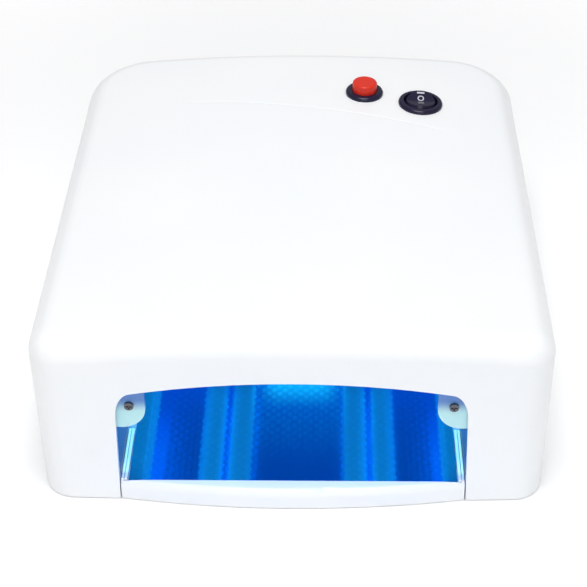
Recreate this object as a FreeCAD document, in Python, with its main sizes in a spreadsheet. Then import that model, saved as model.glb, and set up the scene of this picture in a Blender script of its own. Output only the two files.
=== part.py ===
"""A four-tube UV nail lamp: a crowned white housing over a reflector chamber, with a slide-out mirror tray,
a red timer button and a round three-position power rocker on top.

Row frame: +X to the lamp's right as a user faces it, +Y to its back, +Z up. The origin is on the table,
under the middle of the lamp's box. All lengths are in millimetres.
"""

import FreeCAD, Part

import math
import os

import Sketcher
from FreeCAD import Placement, Rotation, Vector

doc = FreeCAD.newDocument("uv_nail_lamp")
sheet = doc.addObject("Spreadsheet::Sheet", "dims")

DRIVING = {
    # housing
    "shell_width": 230.0,
    "shell_depth": 258.0,
    "shell_foot": 0.5,  # the gap under the housing's rim
    "crown_top": 95.0,
    "crown_radius": 1000.0,
    "wall": 2.6,
    "front_bow": 2.0,
    "front_corner": 14.0,
    "rear_corner": 32.0,
    "top_round": 11.0,
    # hand opening
    "mouth_half_low": 79.5,
    "mouth_half_high": 77.2,
    "mouth_side": 62.2,
    "mouth_top": 70.6,
    "mouth_corner": 13.0,
    # reflector chamber
    "liner_half": 92.0,
    "liner_shoulder": 58.0,
    "liner_ceiling": 80.0,
    "liner_flat_half": 71.0,
    "liner_wall": 1.5,
    "liner_front": -122.6,
    "back_wall": 46.0,
    "ledge_top": 12.5,
    # lamps
    "tube_radius": 6.0,
    "tube_pitch": 15.0,
    "tube_glass": 0.9,
    "tube_front": -102.0,
    "tube_rear": 24.0,
    "base_long": 32.0,
    "base_short": 18.0,
    "side_lamp": 79.0,
    "side_lamp_height": 45.0,
    "top_lamp": 37.5,
    "top_lamp_height": 70.0,
    # tray
    "tray_half": 78.4,
    "tray_under": 5.2,
    "tray_floor": 8.2,
    "lip_top": 10.5,
    "lip_under": 0.5,
    "lip_front": 134.0,
    "tray_rear": 50.0,
    # controls
    "button_place": 34.7,
    "button_back": 80.3,
    "rocker_place": 64.0,
    "rocker_back": 71.5,
}


class Size:
    """A length that carries its number and the spreadsheet expression behind it."""

    def __init__(self, number, text=None):
        self.number = float(number)
        self.text = text or repr(float(number))

    def __add__(self, other):
        other = as_size(other)
        return Size(self.number + other.number, f"({self.text} + {other.text})")

    def __sub__(self, other):
        other = as_size(other)
        return Size(self.number - other.number, f"({self.text} - {other.text})")

    def __mul__(self, factor):
        return Size(self.number * factor, f"({self.text} * {factor!r})")

    def __neg__(self):
        return Size(-self.number, f"(-1 * {self.text})")

    def __rsub__(self, other):
        return as_size(other) - self

    __radd__ = __add__
    __rmul__ = __mul__


def as_size(value):
    return value if isinstance(value, Size) else Size(value)


dim = {}
for row, (alias, number) in enumerate(DRIVING.items(), start=1):
    sheet.set(f"A{row}", alias)
    sheet.set(f"B{row}", str(number))
    sheet.setAlias(f"B{row}", alias)
    dim[alias] = Size(number, f"dims.{alias}")
doc.recompute()

# ---------------------------------------------------------------- helpers
nodes = []  # every sub-part, in the order it is made


def node(made, label):
    """Marks an object as a finished sub-part, and gives it the name of its file."""
    made.Label = label
    nodes.append(made)
    return made


def bind(made, **sizes):
    """Binds properties to expressions. A double underscore stands for a dot."""
    for key, value in sizes.items():
        made.setExpression(key.replace("__", "."), as_size(value).text)


def place(made, x=0, y=0, z=0):
    bind(made, Placement__Base__x=x, Placement__Base__y=y, Placement__Base__z=z)
    return made


def box(name, x, y, z):
    """A box between two corners: x, y and z are (low, high) pairs."""
    made = doc.addObject("Part::Box", name)
    bind(made, Length=as_size(x[1]) - x[0], Width=as_size(y[1]) - y[0], Height=as_size(z[1]) - z[0])
    return place(made, x[0], y[0], z[0])


TURNS = {"Z": Rotation(), "Y": Rotation(Vector(1, 0, 0), -90), "X": Rotation(Vector(0, 1, 0), 90)}


def rod(name, radius, length, at, axis="Z"):
    """A cylinder that starts at a point and runs along +X, +Y or +Z."""
    made = doc.addObject("Part::Cylinder", name)
    made.Placement = Placement(Vector(), TURNS[axis])
    bind(made, Radius=radius, Height=length)
    return place(made, *at)


def cut(name, base, *tools):
    if len(tools) > 1:
        tools = [fuse(name + "_tools", *tools)]
    made = doc.addObject("Part::Cut", name)
    made.Base, made.Tool = base, tools[0]
    return made


def fuse(name, *shapes):
    made = doc.addObject("Part::MultiFuse", name)
    made.Shapes = list(shapes)
    return made


def group(name, *shapes):
    """Several separate solids kept as one node, such as a set of screws."""
    made = doc.addObject("Part::Compound", name)
    made.Links = list(shapes)
    return made


def rounded(name, base, radius, wanted):
    """Rounds those edges of a shape whose test says so."""
    doc.recompute()
    edges = [i for i, e in enumerate(base.Shape.Edges, start=1) if wanted(e)]
    made = doc.addObject("Part::Fillet", name)
    made.Base = base
    made.Edges = [(i, radius, radius) for i in edges]
    return made


def body(name):
    return doc.addObject("PartDesign::Body", name)


def sketch(owner, name, plane="XY_Plane", offset=0):
    made = owner.newObject("Sketcher::SketchObject", name)
    made.AttachmentSupport = [(next(f for f in owner.Origin.OriginFeatures if f.Role == plane), "")]
    made.MapMode = "FlatFace"
    bind(made, AttachmentOffset__Base__z=offset)
    return made


def pin_point(made, curve, end, x, y):
    """Holds one point of a sketch at bound coordinates."""
    for kind, size, axis in (("DistanceX", as_size(x), -2), ("DistanceY", as_size(y), -1)):
        if abs(size.number) < 1e-9:
            made.addConstraint(Sketcher.Constraint("PointOnObject", curve, end, axis))
        else:
            at = made.addConstraint(Sketcher.Constraint(kind, -1, 1, curve, end, size.number))
            made.setExpression(f"Constraints[{at}]", size.text)


def outline(made, points, bulges=None):
    """A closed outline. bulges gives, for a side that is an arc, a point on its middle."""
    bulges = bulges or {}
    first = made.GeometryCount
    count = len(points)
    vectors = [Vector(as_size(x).number, as_size(y).number, 0) for x, y in points]
    ends = []
    for i, start in enumerate(vectors):
        stop = vectors[(i + 1) % count]
        if i in bulges:
            x, y = bulges[i]
            middle = Vector(as_size(x).number, as_size(y).number, 0)
            arc = Part.Arc(start, middle, stop)
            at = made.addGeometry(arc)
            begins = made.getPoint(at, 1)
            turned = begins.distanceToPoint(start) > begins.distanceToPoint(stop)
            ends.append((2, 1) if turned else (1, 2))
        else:
            made.addGeometry(Part.LineSegment(start, stop))
            ends.append((1, 2))
    for i in range(count):
        after = (i + 1) % count
        joint = Sketcher.Constraint("Coincident", first + i, ends[i][1], first + after, ends[after][0])
        made.addConstraint(joint)
        pin_point(made, first + i, ends[i][0], *points[i])
    for i, (x, y) in bulges.items():
        dot = made.addGeometry(Part.Point(Vector(as_size(x).number, as_size(y).number, 0)), True)
        pin_point(made, dot, 1, x, y)
        made.addConstraint(Sketcher.Constraint("PointOnObject", dot, 1, first + i))
    return made


def ring(made, x, y, radius):
    """A circle with a bound centre and radius."""
    radius = as_size(radius)
    centre = Vector(as_size(x).number, as_size(y).number, 0)
    at = made.addGeometry(Part.Circle(centre, Vector(0, 0, 1), radius.number))
    pin_point(made, at, 3, x, y)
    held = made.addConstraint(Sketcher.Constraint("Radius", at, radius.number))
    made.setExpression(f"Constraints[{held}]", radius.text)
    return made


def rectangle(made, x, y):
    return outline(made, [(x[0], y[0]), (x[1], y[0]), (x[1], y[1]), (x[0], y[1])])


def pad(owner, name, profile, length, **options):
    made = owner.newObject("PartDesign::Pad", name)
    made.Profile = profile
    bind(made, Length=length)
    for key, value in options.items():
        setattr(made, key, value)
    doc.recompute()
    return made


def pocket(owner, name, profile, length, **options):
    made = owner.newObject("PartDesign::Pocket", name)
    made.Profile = profile
    bind(made, Length=length)
    for key, value in options.items():
        setattr(made, key, value)
    before = made.BaseFeature.Shape.Volume
    doc.recompute()
    if made.Shape.Volume > before - 0.01:
        raise RuntimeError(f"pocket {name} cuts nothing")
    return made


def revolve(owner, name, profile):
    made = owner.newObject("PartDesign::Revolution", name)
    made.Profile = profile
    made.ReferenceAxis = (profile, ["V_Axis"])
    made.Angle = 360.0
    doc.recompute()
    return made


def round_edges(owner, name, base, radius, wanted):
    edges = [f"Edge{i}" for i, e in enumerate(base.Shape.Edges, start=1) if wanted(e)]
    made = owner.newObject("PartDesign::Fillet", name)
    made.Base = (base, edges)
    bind(made, Radius=radius)
    doc.recompute()
    return made


def upright(edge):
    """True for a straight edge that runs mostly up and down."""
    a, b = edge.Vertexes[0].Point, edge.Vertexes[-1].Point
    return abs(a.z - b.z) > 0.9 * a.distanceToPoint(b) and a.distanceToPoint(b) > 1


def crown(x):
    """Height of the housing's crowned top at a distance from its middle."""
    top, radius = DRIVING["crown_top"], DRIVING["crown_radius"]
    return top - radius + math.sqrt(radius**2 - x**2)


def lean(x):
    """The angle, in degrees, by which the crowned top leans out there."""
    return math.degrees(math.asin(x / DRIVING["crown_radius"]))


half_width = dim["shell_width"] * 0.5
half_depth = dim["shell_depth"] * 0.5

# ---------------------------------------------------------------- housing
# One white ABS moulding, open underneath, with the hand opening in front and six screw posts inside.
SCREW_PLACES = [(102.5, -104.0), (102.5, 14.0), (98.0, 109.0)]
POST_RADIUS = 4.0
PILOT_RADIUS = 1.4
SCREW_LENGTH = 14.0


def housing_block(name, inset, front_corner, rear_corner, top_round):
    """The housing's outer form, or with an inset the space inside it, as a body."""
    owner = body(name)
    wide, deep = half_width - inset, half_depth - inset
    corner = deep - dim["front_bow"]
    plan = sketch(owner, name + "_plan", offset=dim["shell_foot"])
    outline(
        plan,
        [(-wide, -corner), (wide, -corner), (wide, deep), (-wide, deep)],
        {0: (0, -deep)},
    )
    block = pad(owner, name + "_block", plan, dim["crown_top"] + 5)
    front = round_edges(
        owner, name + "_front_corners", block, front_corner, lambda e: upright(e) and e.CenterOfMass.y < 0
    )
    rear = round_edges(
        owner, name + "_rear_corners", front, rear_corner, lambda e: upright(e) and e.CenterOfMass.y > 90 and
        e.Curve.TypeId == "Part::GeomLine" and abs(e.CenterOfMass.x) > DRIVING["shell_width"] / 2 - 8
    )
    over = sketch(owner, name + "_over", "XZ_Plane")
    reach, high = 130.0, 130.0
    fall = crown(reach)
    outline(
        over,
        [(-reach, fall - inset.number), (reach, fall - inset.number), (reach, high), (-reach, high)],
        {0: (0, dim["crown_top"] - inset)},
    )
    topped = pocket(owner, name + "_crown", over, 400, Midplane=True)
    highest = crown(DRIVING["shell_width"] / 2) - inset.number - 1.5
    round_edges(
        owner, name + "_round", topped, top_round, lambda e: min(v.Z for v in e.Vertexes) > highest
    )
    return owner


outer = housing_block("housing_outside", Size(0), dim["front_corner"], dim["rear_corner"], dim["top_round"])
inner = housing_block(
    "housing_inside",
    dim["wall"],
    dim["front_corner"] - dim["wall"],
    dim["rear_corner"] - dim["wall"],
    dim["top_round"] - dim["wall"],
)

mouth = body("mouth_cutter")
arch = sketch(mouth, "mouth_outline", "XZ_Plane")
outline(
    arch,
    [
        (-dim["mouth_half_low"], -10),
        (dim["mouth_half_low"], -10),
        (dim["mouth_half_high"], dim["mouth_side"]),
        (-dim["mouth_half_high"], dim["mouth_side"]),
    ],
    {2: (0, dim["mouth_top"])},
)
mouth_block = pad(mouth, "mouth_block", arch, half_depth + 20)
round_edges(
    mouth, "mouth_corners", mouth_block, dim["mouth_corner"],
    lambda e: abs(e.Vertexes[0].Y - e.Vertexes[-1].Y) > 50 and e.CenterOfMass.z > 40,
)
mouth_reach = box("mouth_reach", (-100, 100), (-160, -112), (-12, 90))
mouth_cut = doc.addObject("Part::Common", "mouth_cut")
mouth_cut.Base, mouth_cut.Tool = mouth, mouth_reach

BUTTON_HOLE = 8.0
ROCKER_HOLE = 10.0
GLAND_HOLE = 6.5
GLAND_PLACE = (-60.0, 24.0)  # across and up, on the back wall


def at_control(made, across, back, rise=0.0, tip=0.0):
    """Stands a piece on the crowned top along its normal, raised by rise and tipped about its own X."""
    turn = Rotation(Vector(0, 1, 0), lean(across.number))
    shift = turn.multVec(Vector(0, 0, rise))
    made.Placement = Placement(Vector(), turn.multiply(Rotation(Vector(1, 0, 0), tip)))
    return place(made, across + shift.x, back, crown(across.number) + shift.z)


def swoosh_cutter():
    """A shallow groove that curves across the top in front of the controls."""
    depth, half = 0.35, 0.45
    strip = body("swoosh_strip")
    plan = sketch(strip, "swoosh_plan", offset=80)
    outline(
        plan,
        [(-58, 73.2 - half), (-58, 73.2 + half), (76, 45.6 + half), (76, 45.6 - half)],
        {1: (10, 64.2 + half), 3: (10, 64.2 - half)},
    )
    pad(strip, "swoosh_wall", plan, 30)
    under = doc.addObject("Part::Cylinder", "swoosh_under")
    under.Placement = Placement(Vector(), TURNS["Y"])
    bind(under, Radius=dim["crown_radius"] - depth, Height=200)
    place(under, 0, -20, dim["crown_top"] - dim["crown_radius"])
    return cut("swoosh", strip, under)


posts, pilots = [], []
for x, y in SCREW_PLACES:
    for side in (-1, 1):
        tag = f"{'left' if side < 0 else 'right'}_{len(posts) // 2}"
        posts.append(rod(f"post_{tag}", POST_RADIUS, crown(x) - 1.3 - 5.0, (side * x, y, 5.0)))
        pilots.append(rod(f"pilot_{tag}", PILOT_RADIUS, 22, (side * x, y, 4.0)))
hollow = cut("housing_hollow", outer, inner)
with_posts = fuse("housing_posts", hollow, *posts)
button_at = (dim["button_place"], dim["button_back"])
rocker_at = (dim["rocker_place"], dim["rocker_back"])
button_hole = at_control(rod("button_hole", BUTTON_HOLE, 16, (0, 0, 0)), *button_at, rise=-8)
rocker_hole = at_control(rod("rocker_hole", ROCKER_HOLE, 16, (0, 0, 0)), *rocker_at, rise=-8)
gland_hole = rod("gland_hole", GLAND_HOLE, 12, (GLAND_PLACE[0], half_depth - 8, GLAND_PLACE[1]), "Y")
node(
    cut(
        "top_shell_cut", with_posts, mouth_cut, swoosh_cutter(), button_hole, rocker_hole, gland_hole,
        *pilots,
    ),
    "top_shell",
)

# ---------------------------------------------------------------- base frame
# A white plate inside the housing's rim, cut away over the tray, with upturned runners beside it.
PLATE_LOW, PLATE_HIGH = 2.2, 4.7
RUNNER_WALL = 1.5
base_body = body("base_plate_body")
plate_plan = sketch(base_body, "base_plan", offset=PLATE_LOW)
plate_half, plate_back = half_width - dim["wall"] - 0.4, half_depth - dim["wall"] - 0.4
rectangle(plate_plan, (-plate_half, plate_half), (-122.2, plate_back))
plate = pad(base_body, "base_plate", plate_plan, PLATE_HIGH - PLATE_LOW)
plate_front = round_edges(
    base_body, "base_front_corners", plate, 11.0, lambda e: upright(e) and e.CenterOfMass.y < 0
)
plate_rear = round_edges(
    base_body, "base_rear_corners", plate_front, dim["rear_corner"] - dim["wall"] - 0.4,
    lambda e: upright(e) and e.CenterOfMass.y > 100,
)
tray_room = sketch(base_body, "tray_room", offset=PLATE_HIGH)
rectangle(tray_room, (-74.0, 74.0), (-130.0, 46.0))
pocket(base_body, "tray_window", tray_room, 10)
slots = sketch(base_body, "vent_slots", offset=PLATE_HIGH)
VENT_WIDE, VENT_STEP, VENT_COUNT = 3.0, 8.0, 9
for side in (-1, 1):
    rectangle(slots, (side * 96.0 - 9.0, side * 96.0 + 9.0), (-82.0, -82.0 + VENT_WIDE))
first_vent = pocket(base_body, "vents", slots, 10)
vent_row = base_body.newObject("PartDesign::LinearPattern", "vent_row")
vent_row.Originals = [first_vent]
vent_row.Direction = (slots, ["V_Axis"])
bind(vent_row, Length=VENT_STEP * (VENT_COUNT - 1))
vent_row.Occurrences = VENT_COUNT
base_body.Tip = vent_row
doc.recompute()
rear_slots = sketch(base_body, "rear_vent_slots", offset=PLATE_HIGH)
for step in range(7):
    across = (step - 3) * VENT_STEP
    rectangle(rear_slots, (across - VENT_WIDE / 2, across + VENT_WIDE / 2), (68.0, 104.0))
pocket(base_body, "rear_vents", rear_slots, 10)
holes = sketch(base_body, "screw_holes", offset=PLATE_HIGH)
for x, y in SCREW_PLACES:
    for side in (-1, 1):
        ring(holes, side * x, y, 1.7)
pocket(base_body, "base_screw_holes", holes, 10)

RUNNER_IN = 78.8
LEDGE_FRONT, LEDGE_STEP, LEDGE_BACK = -122.4, 45.5, 52.7
ledge, runner_out = dim["ledge_top"], RUNNER_IN + RUNNER_WALL
liner_out = dim["liner_half"] + dim["liner_wall"]
rails = []
for side, tag in ((-1, "left"), (1, "right")):
    near = (-runner_out, -RUNNER_IN) if side < 0 else (RUNNER_IN, runner_out)
    flange = (-liner_out, -RUNNER_IN) if side < 0 else (RUNNER_IN, liner_out)
    rails.append(box(f"runner_{tag}", near, (LEDGE_FRONT, LEDGE_BACK), (PLATE_HIGH - 0.5, ledge)))
    rails.append(box(f"ledge_{tag}", flange, (LEDGE_FRONT, LEDGE_BACK), (ledge - RUNNER_WALL, ledge)))
rear_run = (LEDGE_BACK - RUNNER_WALL, LEDGE_BACK)
rails.append(box("runner_back", (-RUNNER_IN, RUNNER_IN), rear_run, (PLATE_HIGH - 0.5, ledge)))
rails.append(
    box("ledge_back", (-RUNNER_IN, RUNNER_IN), (LEDGE_STEP, LEDGE_BACK), (ledge - RUNNER_WALL, ledge))
)
BOARD_LOW, BALLAST_LOW = PLATE_HIGH + 8.0, PLATE_HIGH + 5.0
BOARD_HOLES = [(x, y) for x in (-44.0, 44.0) for y in (64.0, 114.0)]
BALLAST_HOLES = [(x, y) for x in (-74.0, 74.0) for y in (76.0, 102.0)]
post_bores = []
for places, top in ((BOARD_HOLES, BOARD_LOW), (BALLAST_HOLES, BALLAST_LOW)):
    for x, y in places:
        spot, foot = f"{int(x)}_{int(y)}", PLATE_HIGH - 0.5
        rails.append(rod(f"board_post_{spot}", 3.0, top - foot, (x, y, foot)))
        post_bores.append(rod(f"post_bore_{spot}", 1.0, 7.0, (x, y, top - 7.0)))
framing = fuse("base_frame_fuse", base_body, *rails)
node(cut("base_frame_cut", framing, *post_bores), "base_frame")


def screw(name, x, y, top, length, head_radius, shank_radius, head_high, facing=1):
    """A pan-head screw along Z with a cross slot. facing 1 has its head on top, -1 underneath."""
    head_at = top if facing > 0 else top - head_high
    head = rod(name + "_head", head_radius, head_high, (x, y, head_at))
    shank = rod(name + "_shank", shank_radius, length, (x, y, top - length if facing > 0 else top))
    deep = head_high * 0.55
    slot_at = top + head_high - deep if facing > 0 else top - head_high
    arm = head_radius * 0.6
    bars = [
        box(name + "_slot_a", (x - arm, x + arm), (y - 0.4, y + 0.4), (slot_at, slot_at + deep)),
        box(name + "_slot_b", (x - 0.4, x + 0.4), (y - arm, y + arm), (slot_at, slot_at + deep)),
    ]
    return cut(name, fuse(name + "_solid", head, shank), *bars)


node(
    group(
        "base_screw_set",
        *(
            screw(f"base_screw_{i}", x, y, PLATE_LOW, SCREW_LENGTH, 2.9, 1.4, 1.6, facing=-1)
            for i, (x, y) in enumerate((s * x, y) for x, y in SCREW_PLACES for s in (-1, 1))
        ),
    ),
    "base_screws",
)

FOOT_PLACES = [(98.0, -92.0), (92.0, 94.0)]
feet = []
for x, y in FOOT_PLACES:
    for side in (-1, 1):
        tag = f"foot_{len(feet)}"
        pad_disc = rod(tag + "_disc", 7.0, PLATE_LOW, (side * x, y, 0))
        feet.append(rounded(tag, pad_disc, 0.7, lambda e: e.CenterOfMass.z < 0.1 and len(e.Vertexes) == 1))
node(group("feet_set", *feet), "rubber_feet")

# ---------------------------------------------------------------- reflector chamber
# A folded liner faced with embossed foil, closed at the back by a wall with a window for each socket.
liner_body = body("liner_body")
fold = sketch(liner_body, "liner_fold", "XZ_Plane", offset=-dim["back_wall"])
half, shoulder, ceiling = dim["liner_half"], dim["liner_shoulder"], dim["liner_ceiling"]
flat, thick = dim["liner_flat_half"], dim["liner_wall"]
SLANT = 0.62  # how far the fold's outer corner stands out, as a share of the sheet's thickness
outline(
    fold,
    [
        (-half, ledge),
        (-half, shoulder),
        (-flat, ceiling),
        (flat, ceiling),
        (half, shoulder),
        (half, ledge),
        (half + thick, ledge),
        (half + thick, shoulder + thick * SLANT),
        (flat + thick * SLANT, ceiling + thick),
        (-flat - thick * SLANT, ceiling + thick),
        (-half - thick, shoulder + thick * SLANT),
        (-half - thick, ledge),
    ],
)
pad(liner_body, "liner_sheet", fold, dim["back_wall"] - dim["liner_front"])
node(liner_body, "reflector_liner")

WALL_THICK = 1.5
wall_body = body("back_wall_body")
face = sketch(wall_body, "back_wall_face", "XZ_Plane", offset=-dim["back_wall"])
outline(
    face,
    [
        (-half, ledge),
        (half, ledge),
        (half, shoulder),
        (flat, ceiling),
        (-flat, ceiling),
        (-half, shoulder),
    ],
)
pad(wall_body, "back_wall_sheet", face, WALL_THICK, Reversed=True)
windows = sketch(wall_body, "socket_windows", "XZ_Plane", offset=-dim["back_wall"] - WALL_THICK)
lamps = {}
for tag, x, z, upright_lamp in (
    ("left_side", -dim["side_lamp"], dim["side_lamp_height"], True),
    ("right_side", dim["side_lamp"], dim["side_lamp_height"], True),
    ("left_top", -dim["top_lamp"], dim["top_lamp_height"], False),
    ("right_top", dim["top_lamp"], dim["top_lamp_height"], False),
):
    lamps[tag] = (x, z, upright_lamp)
long_half, short_half = dim["base_long"] * 0.5, dim["base_short"] * 0.5
for x, z, upright_lamp in lamps.values():
    across, up = (short_half, long_half) if upright_lamp else (long_half, short_half)
    rectangle(windows, (x - across + 1, x + across - 1), (z - up + 1, z + up - 1))
pocket(wall_body, "back_wall_windows", windows, 10, Midplane=True)
node(wall_body, "reflector_back_wall")

# ---------------------------------------------------------------- lamps
# Each lamp is a U tube in a white two-pin base, plugged into a socket behind the back wall.
BASE_LENGTH = 22.0
SOCKET_LENGTH = 18.0
PIN_RADIUS, PIN_LENGTH, PIN_HALF = 1.15, 6.0, 11.0
tube_r, tube_half = dim["tube_radius"], dim["tube_pitch"] * 0.5
all_pins, socket_screws, supports = [], [], []


def u_tube(name, x, z, upright_lamp):
    """The glass: two straight legs joined by a half ring at the front, hollow and sealed at its ends."""

    def bent_rod(tag, radius, closed_by):
        legs = []
        for side in (-1, 1):
            at = (x, dim["tube_front"], z + tube_half * side) if upright_lamp else (
                x + tube_half * side, dim["tube_front"], z)
            length = dim["tube_rear"] - dim["tube_front"] - closed_by
            legs.append(rod(f"{name}_{tag}_{'b' if side > 0 else 'a'}", radius, length, at, "Y"))
        bend = doc.addObject("Part::Torus", f"{name}_{tag}_bend")
        bind(bend, Radius1=tube_half, Radius2=radius)
        bend.Angle3 = 180
        # the half ring's middle points to -Y
        if upright_lamp:
            bend.Placement = Placement(Vector(), TURNS["X"].multiply(Rotation(Vector(0, 0, 1), 180)))
        else:
            bend.Placement = Placement(Vector(), Rotation(Vector(0, 0, 1), 180))
        place(bend, x, dim["tube_front"], z)
        return fuse(f"{name}_{tag}", *legs, bend)

    return cut(name, bent_rod("glass", tube_r, 0), bent_rod("bore", tube_r - dim["tube_glass"], 1.2))


for tag, (x, z, upright_lamp) in lamps.items():
    node(u_tube(f"tube_{tag}_glass", x, z, upright_lamp), f"uv_tube_{tag}")
    across, up = (short_half, long_half) if upright_lamp else (long_half, short_half)
    rear = dim["tube_rear"]
    block = box(f"base_{tag}_block", (x - across, x + across), (rear, dim["back_wall"]), (z - up, z + up))
    base = rounded(f"base_{tag}", block, 4.0, lambda e: abs(e.Vertexes[0].Y - e.Vertexes[-1].Y) > 10)
    holes_for_pins = []
    for side in (-1, 1):
        px, pz = (x, z + PIN_HALF * side) if upright_lamp else (x + PIN_HALF * side, z)
        all_pins.append(
            rod(f"pin_{tag}_{side + 1}", PIN_RADIUS, PIN_LENGTH + 4, (px, dim["back_wall"] - 4, pz), "Y")
        )
        holes_for_pins.append(
            rod(f"pin_seat_{tag}_{side + 1}", PIN_RADIUS, 4, (px, dim["back_wall"] - 4, pz), "Y")
        )
    node(cut(f"base_{tag}_cut", base, *holes_for_pins), f"lamp_base_{tag}")

    seat = dim["back_wall"] + 0.2
    holder = box(
        f"socket_{tag}_body",
        (x - across + 1.5, x + across - 1.5),
        (seat, seat + SOCKET_LENGTH),
        (z - up + 1.5, z + up - 1.5),
    )
    wing = 6.0
    wing_x, wing_z = (0, wing) if upright_lamp else (wing, 0)
    flange = box(
        f"socket_{tag}_flange",
        (x - across - wing_x, x + across + wing_x),
        (dim["back_wall"] + WALL_THICK, dim["back_wall"] + WALL_THICK + 2),
        (z - up - wing_z, z + up + wing_z),
    )
    bores = []
    for side in (-1, 1):
        px, pz = (x, z + PIN_HALF * side) if upright_lamp else (x + PIN_HALF * side, z)
        bores.append(rod(f"socket_bore_{tag}_{side + 1}", PIN_RADIUS + 0.15, 9, (px, seat - 1, pz), "Y"))
        sx, sz = (x, z + (up + 3) * side) if upright_lamp else (x + (across + 3) * side, z)
        screw_face = dim["back_wall"] + WALL_THICK + 2
        bores.append(rod(f"socket_screw_hole_{tag}_{side + 1}", 1.3, 4, (sx, screw_face - 3, sz), "Y"))
        head = rod(f"socket_screw_head_{tag}_{side + 1}", 2.3, 1.4, (sx, screw_face, sz), "Y")
        slot = box(
            f"socket_screw_slot_{tag}_{side + 1}", (sx - 1.6, sx + 1.6), (screw_face + 0.8, screw_face + 2),
            (sz - 0.35, sz + 0.35),
        )
        shank = rod(f"socket_screw_shank_{tag}_{side + 1}", 1.3, 2.0, (sx, screw_face - 2, sz), "Y")
        socket_screws.append(
            cut(
                f"socket_screw_{tag}_{side + 1}",
                fuse(f"socket_screw_solid_{tag}_{side + 1}", head, shank),
                slot,
            )
        )
    holder_solid = fuse(f"socket_{tag}_fuse", holder, flange)
    node(cut(f"socket_{tag}_cut", holder_solid, *bores), f"lamp_socket_{tag}")

node(group("pins_set", *all_pins), "lamp_pins")
node(group("socket_screws_set", *socket_screws), "socket_screws")

# A notched hanger holds each U tube near its bend: the top pair off the ceiling, the rest off the side walls.
HANGER_AT = -84.0
for tag, (x, z, upright_lamp) in lamps.items():
    if upright_lamp:
        wall_side = half if x.number > 0 else -half
        span = (x, wall_side) if x.number > 0 else (wall_side, x)
        blank = box(f"hanger_{tag}_blank", span, (HANGER_AT, HANGER_AT + 2), (z - 13, z + 13))
    else:
        blank = box(f"hanger_{tag}_blank", (x - 13, x + 13), (HANGER_AT, HANGER_AT + 2), (z, ceiling))
    notches = []
    for side in (-1, 1):
        nx, nz = (x, z + tube_half * side) if upright_lamp else (x + tube_half * side, z)
        at = (nx, HANGER_AT - 1, nz)
        notches.append(rod(f"hanger_{tag}_notch_{side + 1}", tube_r + 0.15, 4, at, "Y"))
    supports.append(cut(f"hanger_{tag}", blank, *notches))
node(group("hangers_set", *supports), "tube_hangers")

# ---------------------------------------------------------------- end guards
# A white tongue behind each upper corner of the hand opening hides the front end of a side lamp.
GUARD_FRONT, GUARD_THICK = -124.8, 2.0
GUARD_INNER, GUARD_OUTER, GUARD_TOP, GUARD_FOOT = 64.5, 86.5, 78.0, 52.5
GUARD_SCREW_X, GUARD_SCREW_Z, GUARD_SCREW_HEAD = 71.5, 54.5, 2.1
guard_screws = []
for side, tag in ((-1, "left"), (1, "right")):
    guard = body(f"guard_{tag}_body")
    shape = sketch(guard, f"guard_{tag}_shape", "XZ_Plane", offset=-GUARD_FRONT)
    a, b = side * GUARD_INNER, side * GUARD_OUTER
    outline(
        shape,
        [(a, GUARD_TOP), (a, GUARD_FOOT), (b, GUARD_FOOT), (b, 63.0), (side * 73.5, GUARD_TOP)],
        {1: ((a + b) / 2, GUARD_FOOT - (GUARD_OUTER - GUARD_INNER) / 2)},
    )
    pad(guard, f"guard_{tag}_plate", shape, GUARD_THICK, Reversed=True)
    sx, sz = side * GUARD_SCREW_X, GUARD_SCREW_Z
    boss = rod(f"guard_{tag}_boss", 3.2, 6, (sx, GUARD_FRONT + GUARD_THICK - 0.5, sz), "Y")
    bore = rod(f"guard_{tag}_bore", 1.2, 9, (sx, GUARD_FRONT - 1, sz), "Y")
    wide_bore = rod(f"guard_{tag}_wide", 1.5, 3.5, (sx, GUARD_FRONT - 1, sz), "Y")
    node(cut(f"guard_{tag}_cut", fuse(f"guard_{tag}_fuse", guard, boss), bore, wide_bore), f"end_guard_{tag}")
    head = rod(f"guard_screw_head_{tag}", GUARD_SCREW_HEAD, 1.2, (sx, GUARD_FRONT - 1.2, sz), "Y")
    shank = rod(f"guard_screw_shank_{tag}", 1.2, 7.5, (sx, GUARD_FRONT - 0.5, sz), "Y")
    arm, sunk = GUARD_SCREW_HEAD - 0.7, (GUARD_FRONT - 2.2, GUARD_FRONT - 0.6)
    bars = [
        box(f"guard_slot_a_{tag}", (sx - arm, sx + arm), sunk, (sz - 0.4, sz + 0.4)),
        box(f"guard_slot_b_{tag}", (sx - 0.4, sx + 0.4), sunk, (sz - arm, sz + arm)),
    ]
    guard_screws.append(cut(f"guard_screw_{tag}", fuse(f"guard_screw_solid_{tag}", head, shank), *bars))
node(group("guard_screws_set", *guard_screws), "guard_screws")

# ---------------------------------------------------------------- tray
# The slide-out floor: a white tray with a bowed front lip and short twin ribs, and a foil mirror laid in it.
tray_body = body("tray_body")
tray_half, lip_line = dim["tray_half"], -127.2
floor_plan = sketch(tray_body, "tray_plan", offset=dim["tray_under"])
rectangle(floor_plan, (-tray_half, tray_half), (lip_line, dim["tray_rear"]))
pad(tray_body, "tray_floor", floor_plan, dim["tray_floor"] - dim["tray_under"])
lip_plan = sketch(tray_body, "lip_plan", offset=dim["lip_under"])
outline(
    lip_plan,
    [(-tray_half, lip_line - 0.6), (tray_half, lip_line - 0.6), (tray_half, -122.6), (-tray_half, -122.6)],
    {0: (0, -dim["lip_front"])},
)
lip = pad(tray_body, "tray_lip", lip_plan, dim["lip_top"] - dim["lip_under"])
round_edges(
    tray_body, "lip_round", lip, 3.6,
    lambda e: e.CenterOfMass.y < lip_line - 1 and e.CenterOfMass.z > dim["lip_top"].number - 0.1,
)
recess = sketch(tray_body, "lip_recess", offset=dim["lip_top"])
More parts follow.
